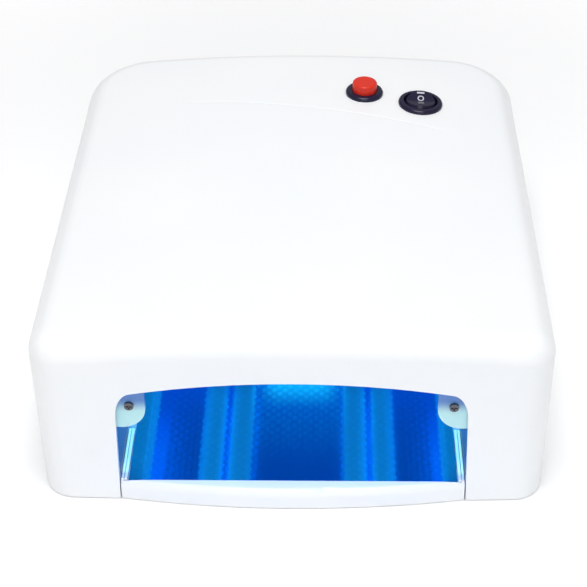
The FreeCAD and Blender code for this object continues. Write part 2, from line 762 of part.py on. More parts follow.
rectangle(recess, (-77.2, 77.2), (-126.4, -122.0))
pocket(tray_body, "lip_back", recess, dim["lip_top"] - dim["tray_floor"])
under_plan = sketch(tray_body, "tray_underside", offset=dim["tray_under"])
for step in range(-3, 4):
    rectangle(under_plan, (step * 20.0 - 0.8, step * 20.0 + 0.8), (-118.0, 44.0))
pad(tray_body, "tray_stiffeners", under_plan, 2.4, Reversed=True)
RIB_FRONT, RIB_BACK = -126.0, -91.5
tray_ribs = []
for side, tag in ((-1, "left"), (1, "right")):
    for near, far in ((77.3, 78.4), (75.6, 77.0)):
        across = sorted((side * near, side * far))
        high = (dim["tray_floor"] - 0.5, dim["lip_top"] + 0.4)
        rib = box(f"rib_{tag}_{int(near)}", across, (RIB_FRONT, RIB_BACK), high)
        tray_ribs.append(
            rounded(
                f"rib_{tag}_{int(near)}_round", rib, 0.5,
                lambda e: e.CenterOfMass.z > DRIVING["lip_top"]
                or (upright(e) and e.CenterOfMass.y > RIB_BACK - 0.1),
            )
        )
node(fuse("tray_fuse", tray_body, *tray_ribs), "tray")
MIRROR_THICK = 0.6
node(
    box("tray_mirror_sheet", (-75.3, 75.3), (-126.2, 49.4),
        (dim["tray_floor"], dim["tray_floor"] + MIRROR_THICK)),
    "tray_mirror",
)

# ---------------------------------------------------------------- timer button
# A red momentary button in a black bezel. Each piece stands on the crowned top along its own normal.
def turned(name, points, bulges=None):
    """A body revolved about its own Z from a half profile of (radius, height) points."""
    made = body(name)
    profile = sketch(made, name + "_profile", "XZ_Plane")
    outline(profile, points, bulges)
    revolve(made, name + "_revolved", profile)
    return made


bezel_button = turned(
    "button_bezel_body",
    [(6.8, 2.2), (6.8, -9), (2.3, -9), (2.3, -14.5), (0, -14.5), (0, -20), (7.85, -20), (7.85, 0), (9.9, 0),
     (9.9, 1.0), (8.4, 2.2)],
    {9: (9.35, 1.85)},
)
node(at_control(bezel_button, *button_at), "button_bezel")

cap = turned(
    "button_cap_body",
    [(0, 7.0), (0, -10.5), (2.0, -10.5), (2.0, -1), (6.45, -1), (6.45, 5.8), (5.25, 7.0)],
    {5: (6.1, 6.65)},
)
node(at_control(cap, *button_at), "button_cap")

SPRING_RADIUS, SPRING_WIRE, SPRING_TURNS = 3.7, 0.35, 5
spring_low, spring_high = -9 + SPRING_WIRE, -1 - SPRING_WIRE
helix = Part.makeHelix((spring_high - spring_low) / SPRING_TURNS, spring_high - spring_low, SPRING_RADIUS)
wire_circle = Part.Wire(Part.makeCircle(SPRING_WIRE, Vector(SPRING_RADIUS, 0, 0), Vector(0, 1, 0)))
coil = Part.Wire(helix).makePipeShell([wire_circle], True, True)
spring = doc.addObject("Part::Feature", "button_spring_coil")
spring.Shape = coil
node(at_control(spring, *button_at, rise=spring_low), "button_spring")

nut_blank = doc.addObject("Part::Prism", "button_nut_blank")
nut_blank.Polygon = 6
bind(nut_blank, Circumradius=11.0, Height=3.0)
nut_bore = rod("button_nut_bore", 7.9, 5, (0, 0, -1))
nut = cut("button_nut_cut", nut_blank, nut_bore)
node(at_control(nut, *button_at, rise=-DRIVING["wall"] - 3.25), "button_nut")

# ---------------------------------------------------------------- power rocker
# A round three-position rocker that tips on a pin through its black bezel.
ROCKER_BALL, PIVOT_UP, ROCKER_TIP = 8.6, -2.0, 9.0
bezel_rocker = turned(
    "rocker_bezel_body",
    [(9.0, 2.0), (9.0, -12), (0, -12), (0, -14), (9.85, -14), (9.85, 0), (11.6, 0), (11.6, 0.8), (10.2, 2.0)],
    {7: (11.15, 1.65)},
)
PIN_R = 1.2
pin_hole = rod("rocker_pin_hole", PIN_R + 0.05, 21, (-10.5, 0, PIVOT_UP), "X")
rocker_bezel = cut("rocker_bezel_cut", bezel_rocker, pin_hole)
node(at_control(rocker_bezel, *rocker_at), "rocker_bezel")
ball = doc.addObject("Part::Sphere", "rocker_ball")
bind(ball, Radius=ROCKER_BALL)
roof = body("rocker_roof_body")
roof_shape = sketch(roof, "rocker_roof_shape", "YZ_Plane", offset=-10)
outline(
    roof_shape,
    [(-9, -3.4), (9, -3.4), (9, 6.6), (0, 4.3), (-9, 6.6)],
)
pad(roof, "rocker_roof", roof_shape, 20)
rocker_solid = doc.addObject("Part::Common", "rocker_solid")
rocker_solid.Base, rocker_solid.Tool = ball, roof
rocker_pin_room = rod("rocker_pin_room", PIN_R, 21, (-10.5, 0, 0), "X")
rocker_cut = cut("rocker_cut", rocker_solid, rocker_pin_room)
node(at_control(rocker_cut, *rocker_at, rise=PIVOT_UP, tip=ROCKER_TIP), "power_rocker")
rocker_pin = rod("rocker_pin_rod", PIN_R, 19.0, (-9.5, 0, 0), "X")
pin_group = group("rocker_pin_group", rocker_pin)
node(at_control(pin_group, *rocker_at, rise=PIVOT_UP, tip=ROCKER_TIP), "rocker_pin")


def tabs(name, spots, low, long_):
    """Flat terminals that hang from the foot of a control."""
    made = [box(f"{name}_{i}", (x - 2.4, x + 2.4), (y - 0.4, y + 0.4), (low - long_, low)) for i, (x, y) in
            enumerate(spots)]
    return group(name + "_set", *made)


rocker_tabs = tabs("rocker_tab", [(0, -5.0), (0, 0), (0, 5.0)], -14, 7.0)
node(at_control(rocker_tabs, *rocker_at), "rocker_terminals")
button_tabs = tabs("button_tab", [(0, -3.5), (0, 3.5)], -20, 5.0)
node(at_control(button_tabs, *button_at), "button_terminals")

# ---------------------------------------------------------------- electronics
# A timer board and two ballast boards behind the chamber, on posts of the base frame.
BOARD_THICK = 1.6


def board(name, x, y, low, holes_at):
    sheet_board = box(name + "_sheet", x, y, (low, low + BOARD_THICK))
    bored = [rod(f"{name}_hole_{i}", 1.6, 4, (hx, hy, low - 1)) for i, (hx, hy) in enumerate(holes_at)]
    return cut(name, sheet_board, *bored)


def blocks(name, places, low):
    """A row of plain box-shaped components, each given by its x and y spans and its height."""
    made = [box(f"{name}_{i}", x, y, (low, low + high)) for i, (x, y, high) in enumerate(places)]
    return group(name + "_set", *made)


def cans(name, places, low):
    """Upright round components, each given by its x, y, radius and height."""
    made = [rod(f"{name}_{i}", radius, high, (x, y, low)) for i, (x, y, radius, high) in enumerate(places)]
    return group(name + "_set", *made)


node(board("timer_board_cut", (-50, 50), (58.5, 119), BOARD_LOW, BOARD_HOLES), "timer_board")
on_board = BOARD_LOW + BOARD_THICK
node(blocks("relay", [((-30, -11), (96, 111), 15), ((-6, 13), (96, 111), 15)], on_board), "timer_relays")
node(blocks("chip", [((-24, -4.5), (74, 80.4), 3.6), ((6, 16), (74, 80.4), 3.6)], on_board), "timer_chips")
node(cans("cap", [(26, 84, 5.0, 20), (38, 84, 4.0, 12), (26, 98, 4.0, 12)], on_board), "timer_capacitors")
node(box("transformer", (-42, -26), (82, 92), (on_board, on_board + 14)), "timer_transformer")
node(blocks("plug", [((x, x + 12), (62, 70), 8) for x in (-34, -16, 4, 22)], on_board), "wire_headers")
screw_tops = [(x, y, BOARD_LOW) for x, y in BOARD_HOLES] + [(x, y, BALLAST_LOW) for x, y in BALLAST_HOLES]
board_screws = [
    screw(f"board_screw_{i}", x, y, low + BOARD_THICK, 6.5, 2.4, 1.0, 1.4)
    for i, (x, y, low) in enumerate(screw_tops)
]
node(group("board_screws_set", *board_screws), "board_screws")
for side, tag in ((-1, "left"), (1, "right")):
    edge = sorted((side * 56.0, side * 92.0))
    spots = [(x, y) for x, y in BALLAST_HOLES if x * side > 0]
    node(board(f"ballast_{tag}_cut", edge, (70, 108), BALLAST_LOW, spots), f"ballast_board_{tag}")
    on_top = BALLAST_LOW + BOARD_THICK
    choke_x = sorted((side * 78.0, side * 90.0))
    chokes = [(choke_x, (y, y + 12), 13) for y in (73.0, 92.0)]
    node(blocks(f"choke_{tag}", chokes, on_top), f"ballast_chokes_{tag}")
    cells = [(side * 64.0, y, 4.0, 16.0) for y in (78.0, 89.0, 100.0)]
    node(cans(f"cell_{tag}", cells, on_top), f"ballast_capacitors_{tag}")

# ---------------------------------------------------------------- cord gland
# A black bush snapped into the back wall, with a free bore for the mains lead.
GLAND_PROUD, GLAND_BORE = 5.0, 3.6
gland = turned(
    "gland_body",
    [(GLAND_BORE, GLAND_PROUD), (GLAND_BORE, -8), (5.6, -8), (6.3, -3.6), (6.4, -2.6), (6.4, 0), (9.0, 0),
     (9.0, 2.0), (6.2, GLAND_PROUD)],
)
gland.Placement = Placement(Vector(GLAND_PLACE[0], half_depth.number, GLAND_PLACE[1]), TURNS["Y"])
bind(gland, Placement__Base__y=half_depth)
node(gland, "cord_gland")

# ---------------------------------------------------------------- check and write
doc.recompute()
faults = [o.Name for o in doc.Objects if {"Invalid", "Error"} & set(o.State)]
if faults:
    raise RuntimeError(f"these objects did not build: {faults}")
os.makedirs("parts", exist_ok=True)
for made in nodes:
    if made.Shape.isNull() or not made.Shape.isValid() or made.Shape.Volume <= 0:
        raise RuntimeError(f"{made.Label} is not a valid solid")
    made.Shape.exportStep(f"parts/{made.Label}.step")
whole = FreeCAD.BoundBox()
for made in nodes:
    whole.add(made.Shape.optimalBoundingBox())
print(len(nodes), "nodes, box", whole)
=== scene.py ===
import math

import bmesh
import bpy
from mathutils import Matrix, Vector


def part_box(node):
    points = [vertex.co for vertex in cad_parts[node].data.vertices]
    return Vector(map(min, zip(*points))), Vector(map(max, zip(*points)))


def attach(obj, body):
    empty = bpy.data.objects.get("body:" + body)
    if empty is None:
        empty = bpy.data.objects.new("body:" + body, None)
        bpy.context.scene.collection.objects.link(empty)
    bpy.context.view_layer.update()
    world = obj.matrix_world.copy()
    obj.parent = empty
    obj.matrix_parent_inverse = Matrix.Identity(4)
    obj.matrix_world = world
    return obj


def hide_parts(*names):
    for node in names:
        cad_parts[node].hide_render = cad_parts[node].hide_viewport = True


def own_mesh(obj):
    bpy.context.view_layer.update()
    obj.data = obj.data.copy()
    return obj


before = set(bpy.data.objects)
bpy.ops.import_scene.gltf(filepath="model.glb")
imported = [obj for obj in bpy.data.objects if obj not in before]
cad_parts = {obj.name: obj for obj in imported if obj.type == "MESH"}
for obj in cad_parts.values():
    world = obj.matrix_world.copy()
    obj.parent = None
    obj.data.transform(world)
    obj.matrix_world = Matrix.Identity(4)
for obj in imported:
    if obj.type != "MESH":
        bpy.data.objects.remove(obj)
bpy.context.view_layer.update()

# ---------------------------------------------------------------- room
# The lamp stands on a plain white table under soft, even studio light.
# The camera looks down on its front from a little over half a metre away.
MM = 0.001
scene = bpy.context.scene
scene.view_settings.view_transform = "Standard"

CAMERA_AT = Vector((17.54, -625.0, 496.3)) * MM
PITCH, YAW, ROLL = 0.6492, -0.0314, -0.0161
LENS = 92.94
ahead = Vector((math.sin(YAW) * math.cos(PITCH), math.cos(YAW) * math.cos(PITCH), -math.sin(PITCH)))
level = Vector((math.cos(YAW), -math.sin(YAW), 0))
above = level.cross(ahead)
across = math.cos(ROLL) * level + math.sin(ROLL) * above
upward = -math.sin(ROLL) * level + math.cos(ROLL) * above
camera = bpy.data.objects.new("camera", bpy.data.cameras.new("camera"))
camera.data.lens = LENS
camera.data.sensor_width = 36
camera.data.clip_start = 0.01
camera.matrix_world = Matrix.Translation(CAMERA_AT) @ Matrix((across, upward, -ahead)).transposed().to_4x4()
scene.collection.objects.link(camera)
scene.camera = camera


class Level:
    """A value or a colour inside a finish, so that sums on it are written as sums."""

    def __init__(self, finish, socket):
        self.finish, self.socket = finish, socket

    def sum(self, operation, *terms):
        return self.finish.node("ShaderNodeMath", {"operation": operation}, dict(enumerate(terms)))

    def __add__(self, other):
        return self.sum("ADD", self, other)

    def __radd__(self, other):
        return self.sum("ADD", other, self)

    def __sub__(self, other):
        return self.sum("SUBTRACT", self, other)

    def __rsub__(self, other):
        return self.sum("SUBTRACT", other, self)

    def __mul__(self, other):
        return self.sum("MULTIPLY", self, other)

    def __rmul__(self, other):
        return self.sum("MULTIPLY", other, self)

    def __truediv__(self, other):
        return self.sum("DIVIDE", self, other)

    def __pow__(self, other):
        return self.sum("POWER", self, other)

    def __abs__(self):
        return self.sum("ABSOLUTE", self)

    def ease(self, low, high):
        """0 below low, 1 above high and a smooth step between them."""
        settings = {"interpolation_type": "SMOOTHSTEP"}
        return self.finish.node("ShaderNodeMapRange", settings, {0: self, 1: low, 2: high, 3: 0.0, 4: 1.0})


class Finish:
    """A material with one shader, whose colour, gloss and relief come from patterns on Object coordinates."""

    def __init__(self, name, colour, roughness, **constants):
        self.material = bpy.data.materials.new(name)
        self.material.use_nodes = True
        self.tree = self.material.node_tree
        self.shader = self.tree.nodes["Principled BSDF"]
        self.feed(Base_Color=(*colour, 1), Roughness=roughness, **constants)

    def feed(self, **values):
        for name, value in values.items():
            self.join(self.shader.inputs[name.replace("_", " ")], value)

    def join(self, socket, value):
        if isinstance(value, Level):
            self.tree.links.new(value.socket, socket)
        else:
            socket.default_value = value

    def node(self, kind, settings, values, out=0):
        """Adds a node: its settings first, then what goes into its sockets."""
        made = self.tree.nodes.new(kind)
        for key, value in settings.items():
            if key == "stops":
                ramp = made.color_ramp.elements
                while len(ramp) < len(value):
                    ramp.new(0.5)
                for stop, (at, colour) in zip(ramp, value):
                    stop.position, stop.color = at, (*colour, 1)
            else:
                setattr(made, key, value)
        for at, value in values.items():
            self.join(made.inputs[at], value)
        return Level(self, made.outputs[out])

    def place(self, stretch=(1, 1, 1), turn=(0, 0, 0), shift=(0, 0, 0)):
        where = self.node("ShaderNodeTexCoord", {}, {}, out="Object")
        return self.node("ShaderNodeMapping", {}, {0: where, 1: shift, 2: turn, 3: stretch})

    def axes(self):
        """The place on the lamp, as its X, Y and Z."""
        where = self.node("ShaderNodeTexCoord", {}, {}, out="Object")
        split = self.node("ShaderNodeSeparateXYZ", {}, {0: where})
        return [Level(self, split.socket.node.outputs[at]) for at in range(3)]

    def noise(self, scale, detail=2.0, **where):
        values = {"Vector": self.place(**where), "Scale": scale, "Detail": detail}
        return self.node("ShaderNodeTexNoise", {}, values)

    def cells(self, pitch):
        """A close diamond lattice: the distance from each of its points."""
        lattice = self.place(turn=(0, 0, math.radians(45)))
        values = {"Vector": lattice, "Scale": 1 / pitch, "Randomness": 0.12}
        return self.node("ShaderNodeTexVoronoi", {}, values)

    def blend(self, amount, first, second):
        settings = {"data_type": "RGBA"}
        shades = {6: first, 7: second}
        shades = {at: v if isinstance(v, Level) else (*v, 1) for at, v in shades.items()}
        return self.node("ShaderNodeMix", settings, {0: amount, **shades}, out=2)

    def emboss(self, height, depth, strength=1.0):
        values = {"Strength": strength, "Distance": depth, "Height": height}
        self.feed(Normal=self.node("ShaderNodeBump", {}, values))


table_top = Finish("table_top", (0.985, 0.987, 0.99), 0.6, Specular_IOR_Level=0.2)
seen = table_top.node("ShaderNodeLightPath", {}, {}, out="Is Camera Ray")
table_x, table_y, _ = table_top.axes()
far_off = (table_x * table_x + table_y * table_y).ease(0.05, 0.60)
table_top.feed(
    Roughness=0.5 + 0.1 * table_top.noise(9.0),
    Emission_Color=table_top.blend(far_off * seen, (0.0, 0.0, 0.0), (0.6, 0.6, 0.6)),
    Emission_Strength=1.0,
)
floor = bmesh.new()
bmesh.ops.create_grid(floor, x_segments=1, y_segments=1, size=6)
floor_mesh = bpy.data.meshes.new("floor")
floor.to_mesh(floor_mesh)
floor_mesh.materials.append(table_top.material)
floor_object = bpy.data.objects.new("floor", floor_mesh)
scene.collection.objects.link(floor_object)

world = bpy.data.worlds.new("studio")
world.use_nodes = True
sky = world.node_tree.nodes["Background"]
sky.inputs[0].default_value = (0.985, 0.992, 1.0, 1)
sight = world.node_tree.nodes.new("ShaderNodeLightPath")
glare = world.node_tree.nodes.new("ShaderNodeMapRange")
glare.inputs["To Min"].default_value, glare.inputs["To Max"].default_value = 0.42, 1.0
world.node_tree.links.new(sight.outputs["Is Camera Ray"], glare.inputs["Value"])
world.node_tree.links.new(glare.outputs["Result"], sky.inputs[1])
scene.world = world


def soft_light(name, at, aim, size, power, colour=(1, 1, 1)):
    """A square soft box that faces a point."""
    lamp = bpy.data.lights.new(name, "AREA")
    lamp.size, lamp.energy, lamp.color = size, power, colour
    box = bpy.data.objects.new(name, lamp)
    facing = (Vector(aim) - Vector(at)).to_track_quat("-Z", "Y")
    box.matrix_world = Matrix.Translation(at) @ facing.to_matrix().to_4x4()
    scene.collection.objects.link(box)


soft_light("overhead_box", (0.0, -0.30, 1.5), (0, 0, 0.05), 0.8, 15.0)
soft_light("front_box", (0.0, -1.6, 0.9), (0, 0, 0.05), 1.0, 6.6)

# ---------------------------------------------------------------- housing
# The housing is one moulding of white glossy ABS with a crowned top, open underneath.
# It drops over the base frame, and six screws hold it from below.
shell_white = Finish("shell_white", (0.87, 0.885, 0.90), 0.30, Coat_Weight=0.12, Coat_Roughness=0.2)
speckle = shell_white.noise(1400.0, 2.0)
drift = shell_white.noise(14.0, 3.0)
shell_white.feed(
    Roughness=0.25 + 0.10 * drift + 0.05 * speckle,
    Base_Color=shell_white.blend(drift.ease(0.3, 0.75), (0.865, 0.882, 0.900), (0.885, 0.896, 0.906)),
)
shell_white.emboss(speckle, 0.00004, 0.5)

SHELL_LOW, SHELL_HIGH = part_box("top_shell")
HALF_WIDE, HALF_DEEP = SHELL_HIGH.x, SHELL_HIGH.y
CROWN_TOP, CROWN_RADIUS = 95 * MM, 1.0
FRONT_BOW, WALL = 2 * MM, 2.6 * MM
FRONT_CORNER, REAR_CORNER, TOP_ROUND = 14 * MM, 32 * MM, 11 * MM


def crown_drop(x):
    """How far the crowned top has fallen at a distance from the middle."""
    return CROWN_RADIUS - math.sqrt(CROWN_RADIUS**2 - x**2)


def bevel(mesh, edges, width, segments):
    return bmesh.ops.bevel(
        mesh, geom=list(edges), offset=width, offset_type="OFFSET", affect="EDGES",
        segments=segments, profile=0.5, material=-1,
    )


def housing_form(inset):
    """The crowned, rounded block of the housing, or the space inside it. It has no bottom."""
    form = bmesh.new()
    bmesh.ops.create_cube(form, size=1)
    wide, deep, top = HALF_WIDE - inset, HALF_DEEP - inset, CROWN_TOP - inset
    low = SHELL_LOW.z if inset == 0 else SHELL_LOW.z - 10 * MM
    bmesh.ops.scale(form, vec=(2 * wide, 2 * deep, top - low), verts=form.verts)
    bmesh.ops.translate(form, vec=(0, 0, (top + low) / 2), verts=form.verts)

    def corners(front):
        return [
            e for e in form.edges
            if abs(e.verts[0].co.z - e.verts[1].co.z) > 0.02 and (e.verts[0].co.y < 0) == front
        ]

    bevel(form, corners(True), FRONT_CORNER - inset, 12)
    bevel(form, corners(False), REAR_CORNER - inset, 20)
    rim = [e for e in form.edges if min(v.co.z for v in e.verts) > top - 1e-5]
    bevel(form, rim, TOP_ROUND - inset, 10)
    slices = [((x * 4 * MM, 0, 0), (1, 0, 0)) for x in range(-28, 29)]
    slices += [((0, y * 30 * MM, 0), (0, 1, 0)) for y in range(-3, 4)]
    for at, facing in slices:
        geometry = form.verts[:] + form.edges[:] + form.faces[:]
        bmesh.ops.bisect_plane(form, geom=geometry, plane_co=at, plane_no=facing, dist=1e-6)
    for v in form.verts:
        if v.co.z > top / 2:
            v.co.z -= crown_drop(v.co.x)
        if v.co.y < -0.1:
            v.co.y += FRONT_BOW * (v.co.x / wide) ** 2
    bmesh.ops.recalc_face_normals(form, faces=form.faces)
    return form


def piece(name, mesh, finish, sharp=35.0):
    """Makes an object of a bmesh, with smooth faces that meet at creases past an angle."""
    data = bpy.data.meshes.new(name)
    mesh.to_mesh(data)
    mesh.free()
    data.shade_smooth()
    data.set_sharp_from_angle(angle=math.radians(sharp))
    data.materials.append(finish.material)
    made = bpy.data.objects.new(name, data)
    scene.collection.objects.link(made)
    return made


def carve(target, *tools):
    """Cuts the tools out of the target for good, and takes the tools away."""
    for tool in tools:
        cutting = target.modifiers.new("cut", "BOOLEAN")
        cutting.operation, cutting.solver, cutting.object = "DIFFERENCE", "EXACT", tool
    bpy.context.view_layer.update()
    settled = bpy.data.meshes.new_from_object(target.evaluated_get(bpy.context.evaluated_depsgraph_get()))
    target.modifiers.clear()
    target.data = settled
    for tool in tools:
        bpy.data.objects.remove(tool)
    return target


MOUTH_HALF_LOW, MOUTH_HALF_HIGH = 79.5 * MM, 77.2 * MM
MOUTH_SIDE, MOUTH_TOP, MOUTH_CORNER = 62.2 * MM, 70.6 * MM, 13 * MM
MOUTH_START, MOUTH_REACH = -160 * MM, 48 * MM


def mouth_tool():
    """The hand opening: straight sides that lean in a little, round corners and an arched top."""
    arch = bmesh.new()
    radius = (MOUTH_HALF_HIGH**2 + (MOUTH_TOP - MOUTH_SIDE) ** 2) / (2 * (MOUTH_TOP - MOUTH_SIDE))
    points = [(-MOUTH_HALF_LOW, -10 * MM), (MOUTH_HALF_LOW, -10 * MM)]
    for step in range(25):
        x = MOUTH_HALF_HIGH * (1 - step / 12)
        points.append((x, MOUTH_TOP - radius + math.sqrt(radius**2 - x**2)))
    front = [arch.verts.new((x, MOUTH_START, z)) for x, z in points]
    arch.faces.new(front)
    corner_verts = [front[2], front[-1]]
    bmesh.ops.bevel(
        arch, geom=corner_verts, offset=MOUTH_CORNER * 0.9, offset_type="OFFSET", affect="VERTICES",
        segments=10, profile=0.5, material=-1,
    )
    made = bmesh.ops.extrude_face_region(arch, geom=arch.faces[:])
    deeper = [v for v in made["geom"] if isinstance(v, bmesh.types.BMVert)]
    bmesh.ops.translate(arch, vec=(0, MOUTH_REACH, 0), verts=deeper)
    bmesh.ops.recalc_face_normals(arch, faces=arch.faces)
    return piece("mouth_tool", arch, shell_white)


def control_place(x, y):
    """Where a control stands on the crowned top, square to it."""
    lean = math.asin(x / CROWN_RADIUS)
    return Matrix.Translation((x, y, CROWN_TOP - crown_drop(x))) @ Matrix.Rotation(lean, 4, "Y")


BUTTON_HOLE, ROCKER_HOLE, GLAND_HOLE = 8 * MM, 10 * MM, 6.5 * MM
BUTTON_AT, ROCKER_AT = control_place(34.7 * MM, 80.3 * MM), control_place(64 * MM, 71.5 * MM)


def drill(name, radius, place, depth=16 * MM):
    hole = bmesh.new()
    bmesh.ops.create_cone(
        hole, cap_ends=True, segments=64, radius1=radius, radius2=radius, depth=depth, matrix=place
    )
    return piece(name, hole, shell_white)


CREASE_RADIUS, CREASE_DEPTH, CREASE_STEPS = 2.2 * MM, 0.23 * MM, 40


def crease_tool():
    """A thin round cutter along the shallow crease that sweeps across the top in front of the controls."""
    line = bpy.data.curves.new("crease", "CURVE")
    line.dimensions, line.use_fill_caps = "3D", True
    line.bevel_depth, line.bevel_resolution = CREASE_RADIUS, 8
    path = line.splines.new("POLY")
    path.points.add(CREASE_STEPS)
    for step, point in enumerate(path.points):
        t = step / CREASE_STEPS
        x = (-58 + 134 * t) * MM
        y = ((1 - t) * 73.2 + t * 45.6 + 4 * t * (1 - t) * 4.9) * MM
        point.co = (x, y, CROWN_TOP - crown_drop(x) + CREASE_RADIUS - CREASE_DEPTH, 1)
    holder = bpy.data.objects.new("crease", line)
    scene.collection.objects.link(holder)
    bpy.context.view_layer.update()
    data = bpy.data.meshes.new_from_object(holder.evaluated_get(bpy.context.evaluated_depsgraph_get()))
    bpy.data.objects.remove(holder)
    tool = bpy.data.objects.new("crease_tool", data)
    scene.collection.objects.link(tool)
    return tool


def closed(mesh):
    """Caps a form's open foot."""
    bmesh.ops.holes_fill(mesh, edges=[e for e in mesh.edges if e.is_boundary], sides=0)
    return mesh


housing = piece("housing_shell", closed(housing_form(0)), shell_white)
hollow = piece("hollow_tool", closed(housing_form(WALL)), shell_white)
gland_turn = Matrix.Translation((-60 * MM, HALF_DEEP, 24 * MM)) @ Matrix.Rotation(math.pi / 2, 4, "X")
carve(housing, hollow)
carve(
    housing, mouth_tool(), drill("button_tool", BUTTON_HOLE, BUTTON_AT),
    drill("rocker_tool", ROCKER_HOLE, ROCKER_AT), drill("gland_tool", GLAND_HOLE, gland_turn), crease_tool(),
)


def soften(target, width, segments=3, angle=50.0, sharp=35.0):
    """Rounds a finished piece's sharp edges, as a mould leaves them."""
    mesh = bmesh.new()
    mesh.from_mesh(target.data)
    bmesh.ops.remove_doubles(mesh, verts=mesh.verts, dist=2e-6)
    bmesh.ops.dissolve_degenerate(mesh, dist=1e-6, edges=mesh.edges)
    edges = [e for e in mesh.edges if e.is_manifold and e.calc_face_angle(0) > math.radians(angle)]
    bmesh.ops.bevel(
        mesh, geom=edges, offset=width, offset_type="OFFSET", affect="EDGES", segments=segments,
        profile=0.5, material=-1, clamp_overlap=True,
    )
    mesh.to_mesh(target.data)
    mesh.free()
    target.data.shade_smooth()
    target.data.set_sharp_from_angle(angle=math.radians(sharp))
    return target


soften(housing, 0.6 * MM)
even = housing.modifiers.new("even_normals", "WEIGHTED_NORMAL")
even.keep_sharp = True
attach(housing, "housing")
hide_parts("top_shell")


def wear(finish, *names):
    """Gives CAD nodes a finish."""
    for name in names:
        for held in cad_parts[name].material_slots:
            held.material = finish.material


# ---------------------------------------------------------------- base frame
# The base frame is a satin white moulding inside the housing's rim; the ledges by its runners carry painted
# shade, dull grey.
# Six zinc-plated screws go up through it into the housing's posts, and it stands on four rubber feet.
LEDGE_SIDE, LEDGE_TOP, LEDGE_BACK = (0.0780, 0.0788), (0.0100, 0.0112), (-0.055, -0.052)
frame_white = Finish("frame_white", (0.80, 0.81, 0.82), 0.45)
grain = frame_white.noise(900.0, 3.0)
frame_side, frame_back, frame_up = frame_white.axes()
# Painted shade: the ledges by the runners are painted dull grey where the chamber is in shade.
ledge_painted_shade = abs(frame_side).ease(*LEDGE_SIDE) * frame_up.ease(*LEDGE_TOP) * (frame_back * -1.0).ease(*LEDGE_BACK)
moulded = frame_white.blend(grain, (0.78, 0.79, 0.80), (0.82, 0.83, 0.84))
frame_white.feed(
    Roughness=0.40 + 0.14 * grain, Base_Color=frame_white.blend(ledge_painted_shade, moulded, (0.27, 0.27, 0.31)),
)
frame_white.emboss(grain, 0.00008, 0.6)
wear(frame_white, "base_frame")


def grained(
    name, dark, light, scale, gloss, spread, detail=3.0, relief=0.0, bite=0.5, stretch=(1, 1, 1), **constants
):
    """A finish whose colour, gloss and fine relief all follow one close grain."""
    made = Finish(name, light, gloss, **constants)
    pattern = made.noise(scale, detail, stretch=stretch)
    made.feed(Roughness=gloss + spread * pattern, Base_Color=made.blend(pattern, dark, light))
    if relief:
        made.emboss(pattern, relief, bite)
    return made


zinc_steel = grained(
    "zinc_steel", (0.52, 0.53, 0.55), (0.70, 0.70, 0.69), 1200.0, 0.26, 0.2, stretch=(1, 1, 0.2), Metallic=1.0
)
wear(zinc_steel, "base_screws", "socket_screws", "board_screws")

foot_rubber = grained(
    "foot_rubber", (0.022, 0.022, 0.024), (0.05, 0.05, 0.052), 700.0, 0.7, 0.2,
    detail=4.0, relief=0.0001, bite=0.7,
)
wear(foot_rubber, "rubber_feet")

# ---------------------------------------------------------------- reflector chamber
# A folded liner and a back wall, faced with bright foil embossed all over with small pebbles.
# It throws the tubes' light down on the hand.
def pebbled(name, tint, pitch, depth, gloss):
    """Bright foil with a close diamond pattern of dimples rolled into it."""
    foil = Finish(name, tint, gloss, Metallic=1.0)
    dimples = foil.cells(pitch)
    ripple = foil.noise(25.0, 2.0)
    foil.feed(
        Roughness=gloss + 0.06 * ripple,
        Base_Color=foil.blend(dimples.ease(0.15, 0.6), tint, tuple(0.88 * part for part in tint)),
    )
    foil.emboss(dimples.ease(0.1, 0.55) + 0.6 * ripple, depth, 0.8)
    return foil


# The liner's glow is painted light: emission on the foil stands in for the tubes' light on it. It is darker
# low on the walls and brightest in a painted hot patch in the middle of its ceiling near the back.
# It also has painted glints on the dimple crests and a painted band of glow round that patch. The foil's blue
# tint is painted light as well, the tubes' colour laid on the foil.
FOIL_PITCH = 0.0042
embossed_foil = pebbled("embossed_foil", (0.10, 0.40, 0.85), FOIL_PITCH, 0.0003, 0.14)
side_on, back_on, up_on = embossed_foil.axes()
on_ceiling = up_on.ease(0.060, 0.068)
painted_hot_patch = (abs(side_on) * -1.0).ease(-0.024, -0.012) * back_on.ease(0.004, 0.030) * on_ceiling
painted_glow = embossed_foil.blend(up_on.ease(0.018, 0.050), (0.0, 0.03, 0.12), (0.01, 0.27, 0.92))
crests = (embossed_foil.cells(FOIL_PITCH) * -1.0).ease(-0.42, -0.12)
painted_glints = embossed_foil.blend(crests, (0.05, 2.0, 2.3), (0.60, 4.6, 4.2))
painted_glow_band = (abs(side_on) * -1.0).ease(-0.036, -0.020) * back_on.ease(-0.045, 0.0) * on_ceiling
painted_glow = embossed_foil.blend(painted_glow_band * crests, painted_glow, (0.02, 1.15, 1.75))
embossed_foil.feed(Emission_Color=embossed_foil.blend(painted_hot_patch, painted_glow, painted_glints), Emission_Strength=0.85)
wear(embossed_foil, "reflector_liner", "reflector_back_wall")

# ---------------------------------------------------------------- lamps
# Four U tubes in white two-pin bases, lit: the phosphor glows blue, paler in the middle of each leg
# and darker by the bases. Sockets behind the back wall hold them, and hangers steady their bends.
TUBE_REAR, TUBE_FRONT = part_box("uv_tube_left_top")[1].y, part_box("uv_tube_left_top")[0].y
tube_glow = Finish("tube_glow", (0.35, 0.65, 0.95), 0.25, Coat_Weight=0.6, Emission_Strength=1.25)
_, along, _ = tube_glow.axes()
lit = (along - TUBE_FRONT).ease(0.0, 0.03) * (TUBE_REAR - along).ease(0.0, 0.028)
grainy = tube_glow.noise(250.0, 2.0)
tube_glow.feed(
    Emission_Color=tube_glow.blend(lit * (0.9 + 0.1 * grainy), (0.01, 0.20, 0.50), (0.05, 0.66, 1.0)),
    Roughness=0.22 + 0.1 * grainy,
)
wear(tube_glow, *[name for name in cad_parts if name.startswith("uv_tube_")])

